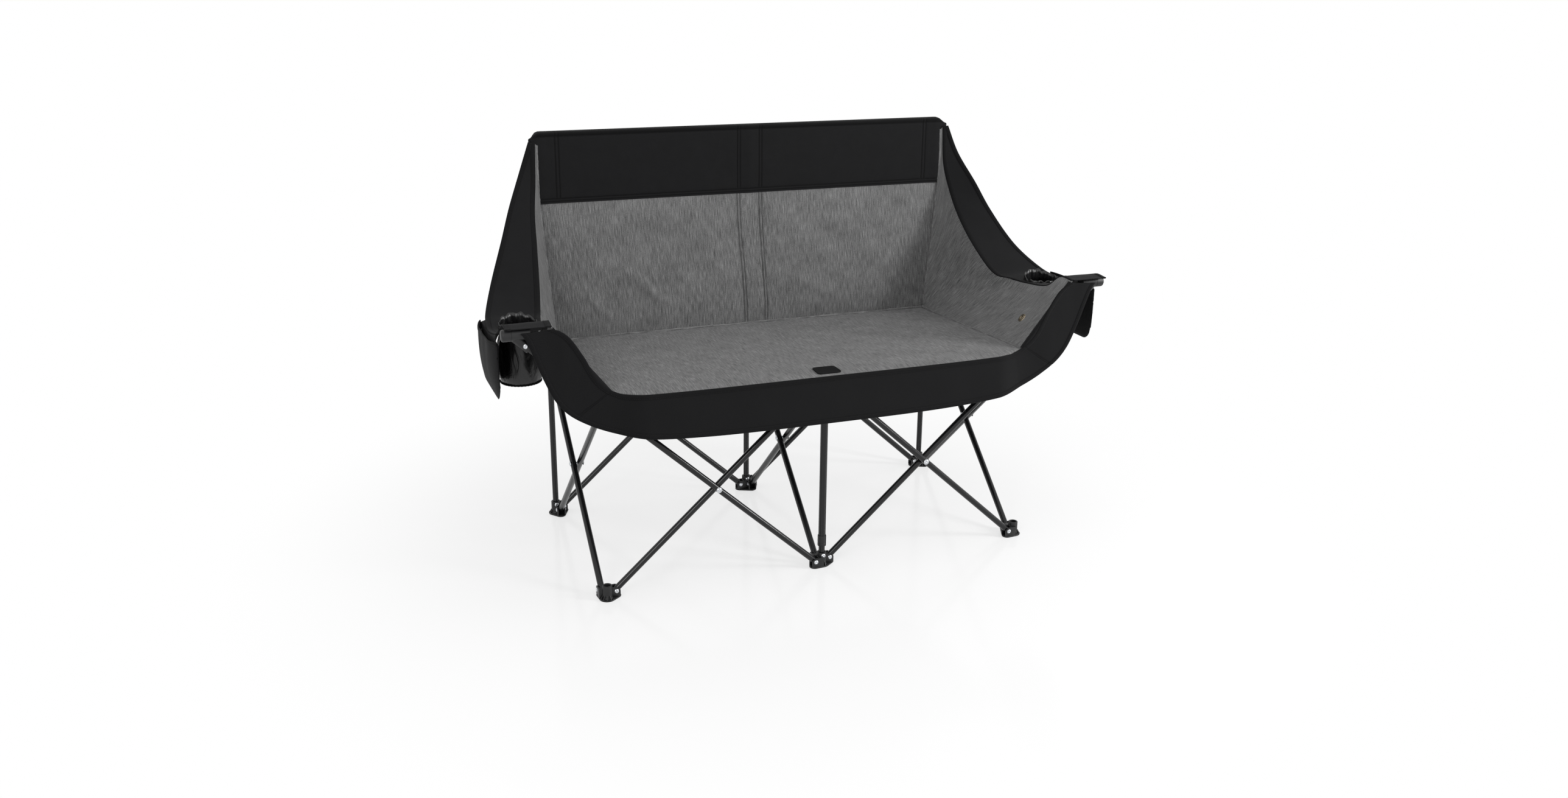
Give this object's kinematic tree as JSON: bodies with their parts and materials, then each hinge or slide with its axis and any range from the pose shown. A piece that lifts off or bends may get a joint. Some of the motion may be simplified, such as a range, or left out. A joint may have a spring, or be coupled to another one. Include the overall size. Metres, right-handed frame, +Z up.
{
  "type": "folding camping loveseat",
  "caption": "Two-seat folding camping chair: padded sling with winged arms on a crossed-tube steel frame that gathers into a bundle.",
  "frame": {"origin": "on the ground, under the middle of the bounding box", "axes": "+X to the right across the seat as seen from the front, +Y to the back, +Z up"},
  "size_m": [1.421, 0.572, 0.935],
  "materials": {
    "plastic": "moulded black nylon",
    "powder_coat": "black powder coat on steel tube",
    "steel": "zinc plated rivets",
    "brass": "antique brass eyelet",
    "grey_cloth": "heather grey woven polyester, padded",
    "black_cloth": "black woven polyester",
    "nylon": "thin black nylon",
    "patch_rubber": "plain soft rubber patch"
  },
  "bodies": {
    "base": {"foot_back_centre": "plastic", "post_back_centre": "powder_coat", "back_panel": "grey_cloth", "back_band": "black_cloth", "back_sleeve_left": "grey_cloth", "back_sleeve_centre": "grey_cloth", "back_sleeve_right": "grey_cloth"},
    "middle_tube_a": {"tube_middle_a": "powder_coat", "pivot_middle": "steel"},
    "middle_tube_b": {"tube_middle_b": "powder_coat"},
    "seat_hub": {"hub_front_centre": "plastic", "post_front_upper": "powder_coat", "post_front_collar": "plastic", "seat_panel": "grey_cloth", "front_band": "black_cloth", "seat_patch": "patch_rubber"},
    "front_foot": {"foot_front_centre": "plastic", "post_front_lower": "powder_coat"},
    "back_slider": {"slider_back_centre": "plastic"},
    "arm_tube_left": {"tube_arm_left": "powder_coat", "pivot_front_left": "steel", "arm_end_left": "plastic"},
    "front_tube_left": {"tube_front_left": "powder_coat"},
    "front_foot_left": {"foot_front_left": "plastic"},
    "front_hub_left": {"hub_front_left": "plastic", "side_panel_left": "grey_cloth", "arm_wing_left": "black_cloth", "cup_pocket_left": "nylon", "side_pocket_left": "black_cloth", "grommet_left": "brass"},
    "back_tube_left_b": {"tube_back_left_b": "powder_coat", "pivot_back_left": "steel"},
    "back_slider_left": {"slider_back_left": "plastic"},
    "back_tube_left_a": {"tube_back_left_a": "powder_coat"},
    "back_foot_left": {"foot_back_left": "plastic", "post_back_left": "powder_coat"},
    "side_tube_left_a": {"tube_side_left_a": "powder_coat", "pivot_side_left": "steel"},
    "side_tube_left_b": {"tube_side_left_b": "powder_coat"},
    "arm_tube_right": {"tube_arm_right": "powder_coat", "pivot_front_right": "steel", "arm_end_right": "plastic"},
    "front_tube_right": {"tube_front_right": "powder_coat"},
    "front_foot_right": {"foot_front_right": "plastic"},
    "front_hub_right": {"hub_front_right": "plastic", "side_panel_right": "grey_cloth", "arm_wing_right": "black_cloth", "cup_pocket_right": "nylon", "side_pocket_right": "black_cloth", "grommet_right": "brass"},
    "back_tube_right_b": {"tube_back_right_b": "powder_coat", "pivot_back_right": "steel"},
    "back_slider_right": {"slider_back_right": "plastic"},
    "back_tube_right_a": {"tube_back_right_a": "powder_coat"},
    "back_foot_right": {"foot_back_right": "plastic", "post_back_right": "powder_coat"},
    "side_tube_right_a": {"tube_side_right_a": "powder_coat", "pivot_side_right": "steel"},
    "side_tube_right_b": {"tube_side_right_b": "powder_coat"}
  },
  "joints": [
    {"name": "fold", "type": "hinge", "parent": "base", "child": "middle_tube_a", "pos_m": [0.0075, 0.24644, 0.016], "axis": [-1, 0, 0], "range_deg": [0, 45], "deforming": ["seat_panel", "back_panel", "back_band", "front_band", "seat_patch", "back_sleeve_left", "back_sleeve_centre", "back_sleeve_right", "side_panel_left", "grommet_left", "arm_wing_left", "cup_pocket_left", "side_pocket_left", "side_panel_right", "grommet_right", "arm_wing_right", "cup_pocket_right", "side_pocket_right"]},
    {"name": "front_hub_pin", "type": "hinge", "parent": "middle_tube_a", "child": "seat_hub", "pos_m": [0.0075, -0.21355, 0.43], "axis": [-1, 0, 0], "range_deg": [-45, 0]},
    {"name": "middle_cross", "type": "hinge", "parent": "middle_tube_a", "child": "middle_tube_b", "pos_m": [-0.0075, 0.01645, 0.223], "axis": [1, 0, 0], "range_deg": [0, 90]},
    {"name": "front_foot_pin", "type": "hinge", "parent": "middle_tube_b", "child": "front_foot", "pos_m": [-0.0075, -0.21355, 0.016], "axis": [1, 0, 0], "range_deg": [-45, 0]},
    {"name": "back_slider_pin", "type": "hinge", "parent": "middle_tube_b", "child": "back_slider", "pos_m": [-0.0075, 0.24644, 0.43], "axis": [1, 0, 0], "range_deg": [-45, 0]},
    {"name": "arm_tube_left_pin", "type": "hinge", "parent": "front_foot", "child": "arm_tube_left", "pos_m": [-0.02, -0.24105, 0.016], "axis": [0, 1, 0], "range_deg": [0, 45]},
    {"name": "front_cross_left", "type": "hinge", "parent": "arm_tube_left", "child": "front_tube_left", "pos_m": [-0.25, -0.22606, 0.223], "axis": [0, -1, 0], "range_deg": [0, 90]},
    {"name": "front_foot_left_pin", "type": "hinge", "parent": "front_tube_left", "child": "front_foot_left", "pos_m": [-0.48, -0.22606, 0.016], "axis": [0, -1, 0], "range_deg": [-45, 0]},
    {"name": "front_hub_left_pin", "type": "hinge", "parent": "arm_tube_left", "child": "front_hub_left", "pos_m": [-0.48, -0.24105, 0.43], "axis": [0, 1, 0], "range_deg": [-45, 0]},
    {"name": "back_tube_left_pin", "type": "hinge", "parent": "base", "child": "back_tube_left_b", "pos_m": [-0.02, 0.25894, 0.016], "axis": [0, 1, 0], "range_deg": [0, 45]},
    {"name": "back_slider_left_pin", "type": "hinge", "parent": "back_tube_left_b", "child": "back_slider_left", "pos_m": [-0.48, 0.25894, 0.43], "axis": [0, 1, 0], "range_deg": [-45, 0]},
    {"name": "back_cross_left", "type": "hinge", "parent": "back_tube_left_b", "child": "back_tube_left_a", "pos_m": [-0.25, 0.27394, 0.223], "axis": [0, -1, 0], "range_deg": [0, 90]},
    {"name": "back_foot_left_pin", "type": "hinge", "parent": "back_tube_left_a", "child": "back_foot_left", "pos_m": [-0.48, 0.27394, 0.016], "axis": [0, -1, 0], "range_deg": [-45, 0]},
    {"name": "side_tube_left_pin", "type": "hinge", "parent": "back_foot_left", "child": "side_tube_left_a", "pos_m": [-0.4925, 0.24644, 0.016], "axis": [-1, 0, 0], "range_deg": [0, 45]},
    {"name": "side_cross_left", "type": "hinge", "parent": "side_tube_left_a", "child": "side_tube_left_b", "pos_m": [-0.5075, 0.01645, 0.223], "axis": [1, 0, 0], "range_deg": [0, 90]},
    {"name": "arm_tube_right_pin", "type": "hinge", "parent": "front_foot", "child": "arm_tube_right", "pos_m": [0.02, -0.22606, 0.016], "axis": [0, -1, 0], "range_deg": [0, 45]},
    {"name": "front_cross_right", "type": "hinge", "parent": "arm_tube_right", "child": "front_tube_right", "pos_m": [0.25, -0.24105, 0.223], "axis": [0, 1, 0], "range_deg": [0, 90]},
    {"name": "front_foot_right_pin", "type": "hinge", "parent": "front_tube_right", "child": "front_foot_right", "pos_m": [0.48, -0.24105, 0.016], "axis": [0, 1, 0], "range_deg": [-45, 0]},
    {"name": "front_hub_right_pin", "type": "hinge", "parent": "arm_tube_right", "child": "front_hub_right", "pos_m": [0.48, -0.22606, 0.43], "axis": [0, -1, 0], "range_deg": [-45, 0]},
    {"name": "back_tube_right_pin", "type": "hinge", "parent": "base", "child": "back_tube_right_b", "pos_m": [0.02, 0.27394, 0.016], "axis": [0, -1, 0], "range_deg": [0, 45]},
    {"name": "back_slider_right_pin", "type": "hinge", "parent": "back_tube_right_b", "child": "back_slider_right", "pos_m": [0.48, 0.27394, 0.43], "axis": [0, -1, 0], "range_deg": [-45, 0]},
    {"name": "back_cross_right", "type": "hinge", "parent": "back_tube_right_b", "child": "back_tube_right_a", "pos_m": [0.25, 0.25894, 0.223], "axis": [0, 1, 0], "range_deg": [0, 90]},
    {"name": "back_foot_right_pin", "type": "hinge", "parent": "back_tube_right_a", "child": "back_foot_right", "pos_m": [0.48, 0.25894, 0.016], "axis": [0, 1, 0], "range_deg": [-45, 0]},
    {"name": "side_tube_right_pin", "type": "hinge", "parent": "back_foot_right", "child": "side_tube_right_a", "pos_m": [0.5075, 0.24644, 0.016], "axis": [-1, 0, 0], "range_deg": [0, 45]},
    {"name": "side_cross_right", "type": "hinge", "parent": "side_tube_right_a", "child": "side_tube_right_b", "pos_m": [0.4925, 0.01645, 0.223], "axis": [1, 0, 0], "range_deg": [0, 90]}
  ],
  "couplings": [
    {"joint": "front_hub_pin", "follows": "fold", "ratio": -1},
    {"joint": "middle_cross", "follows": "fold", "ratio": 2},
    {"joint": "front_foot_pin", "follows": "fold", "ratio": -1},
    {"joint": "back_slider_pin", "follows": "fold", "ratio": -1},
    {"joint": "arm_tube_left_pin", "follows": "fold", "ratio": 1},
    {"joint": "front_cross_left", "follows": "fold", "ratio": 2},
    {"joint": "front_foot_left_pin", "follows": "fold", "ratio": -1},
    {"joint": "front_hub_left_pin", "follows": "fold", "ratio": -1},
    {"joint": "back_tube_left_pin", "follows": "fold", "ratio": 1},
    {"joint": "back_slider_left_pin", "follows": "fold", "ratio": -1},
    {"joint": "back_cross_left", "follows": "fold", "ratio": 2},
    {"joint": "back_foot_left_pin", "follows": "fold", "ratio": -1},
    {"joint": "side_tube_left_pin", "follows": "fold", "ratio": 1},
    {"joint": "side_cross_left", "follows": "fold", "ratio": 2},
    {"joint": "arm_tube_right_pin", "follows": "fold", "ratio": 1},
    {"joint": "front_cross_right", "follows": "fold", "ratio": 2},
    {"joint": "front_foot_right_pin", "follows": "fold", "ratio": -1},
    {"joint": "front_hub_right_pin", "follows": "fold", "ratio": -1},
    {"joint": "back_tube_right_pin", "follows": "fold", "ratio": 1},
    {"joint": "back_slider_right_pin", "follows": "fold", "ratio": -1},
    {"joint": "back_cross_right", "follows": "fold", "ratio": 2},
    {"joint": "back_foot_right_pin", "follows": "fold", "ratio": -1},
    {"joint": "side_tube_right_pin", "follows": "fold", "ratio": 1},
    {"joint": "side_cross_right", "follows": "fold", "ratio": 2}
  ]
}
